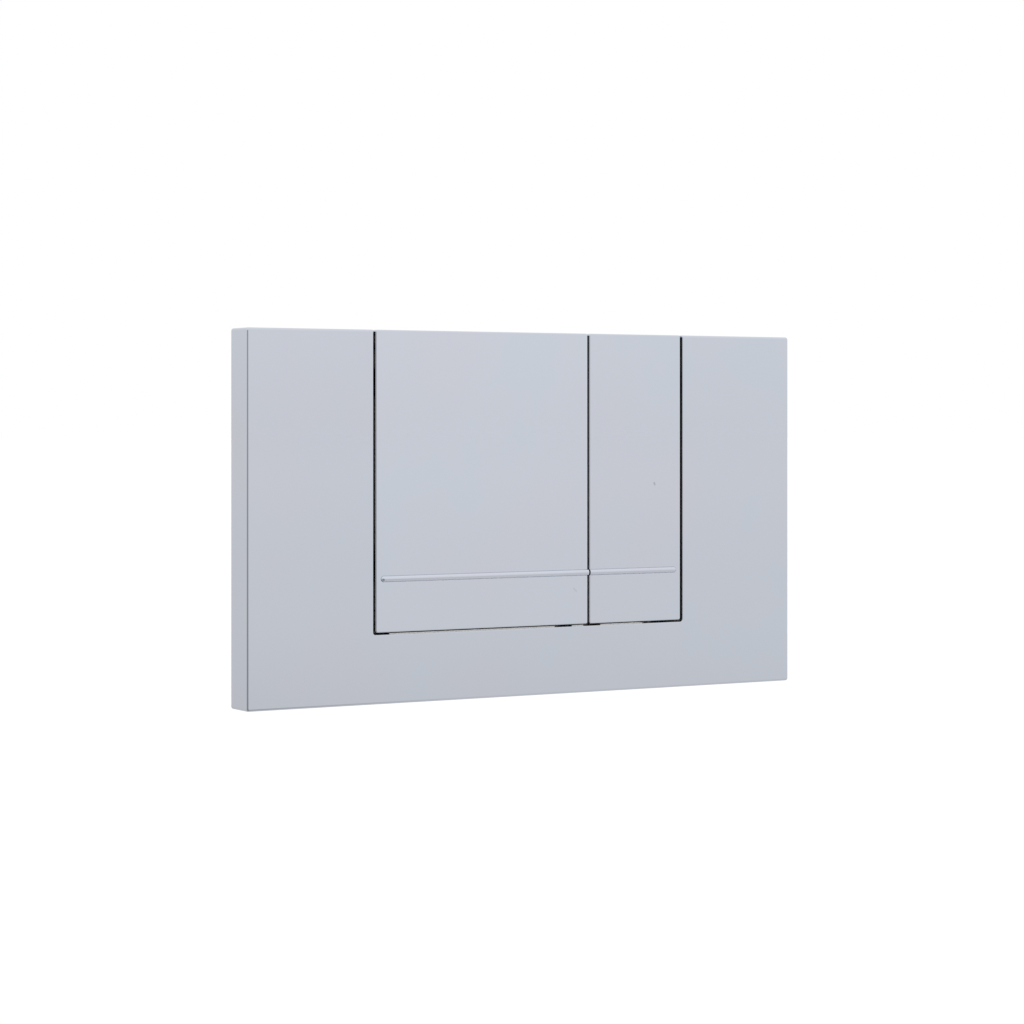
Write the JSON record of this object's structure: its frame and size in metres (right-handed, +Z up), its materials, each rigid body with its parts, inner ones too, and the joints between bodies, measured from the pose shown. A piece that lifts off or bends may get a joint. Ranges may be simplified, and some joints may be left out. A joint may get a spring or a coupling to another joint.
{
  "type": "flush button plate",
  "caption": "Flat rectangular dual-flush wall plate with a large and a small hinged chrome button, a raised press bar, a mounting frame behind them and sprung push rods.",
  "frame": {"origin": "middle of the plate's rim, in the plane of the wall it lies on", "axes": "+X right along the plate's width, +Y into the wall, +Z up"},
  "size_m": [0.253, 0.0764, 0.145],
  "materials": {
    "chrome_plating": "polished",
    "buffer_rubber": "matte",
    "stainless_steel": "satin",
    "spring_steel": "gloss",
    "frame_plastic": "matte",
    "zinc_plated_steel": "satin",
    "nut_plastic": "satin",
    "rod_plastic": "satin",
    "cap_plastic": "satin"
  },
  "bodies": {
    "plate": {"face_plate": "chrome_plating", "full_flush_hinge_pin": "stainless_steel", "half_flush_hinge_pin": "stainless_steel", "hinge_push_nuts": "spring_steel", "mounting_frame": "frame_plastic", "fixing_studs": "zinc_plated_steel", "fixing_washers": "zinc_plated_steel", "fixing_nuts": "nut_plastic", "full_flush_spring": "spring_steel", "half_flush_spring": "spring_steel"},
    "full_button": {"full_flush_button": "chrome_plating", "full_flush_buffers": "buffer_rubber"},
    "half_button": {"half_flush_button": "chrome_plating", "half_flush_buffers": "buffer_rubber"},
    "full_rod": {"full_flush_push_rod": "rod_plastic", "full_flush_rod_cap": "cap_plastic", "full_flush_lock_nut": "nut_plastic"},
    "half_rod": {"half_flush_push_rod": "rod_plastic", "half_flush_rod_cap": "cap_plastic", "half_flush_lock_nut": "nut_plastic"}
  },
  "joints": [
    {"name": "full_button_swing", "type": "hinge", "parent": "plate", "child": "full_button", "pos_m": [-0.0228, -0.0035, 0.066], "axis": [1, 0, 0], "range_deg": [0, 5], "stiffness_Nm_per_rad": 3, "springref_deg": -4.58},
    {"name": "half_button_swing", "type": "hinge", "parent": "plate", "child": "half_button", "pos_m": [0.0492, -0.0035, 0.066], "axis": [1, 0, 0], "range_deg": [0, 5], "stiffness_Nm_per_rad": 3, "springref_deg": -4.58},
    {"name": "full_rod_slide", "type": "slide", "parent": "plate", "child": "full_rod", "axis": [0, 1, 0], "range_m": [0, 0.0076], "deforming": ["full_flush_spring"]},
    {"name": "half_rod_slide", "type": "slide", "parent": "plate", "child": "half_rod", "axis": [0, 1, 0], "range_m": [0, 0.0076], "deforming": ["half_flush_spring"]}
  ],
  "couplings": [
    {"joint": "full_rod_slide", "follows": "full_button_swing", "m_per_rad": 0.086},
    {"joint": "half_rod_slide", "follows": "half_button_swing", "m_per_rad": 0.086}
  ]
}
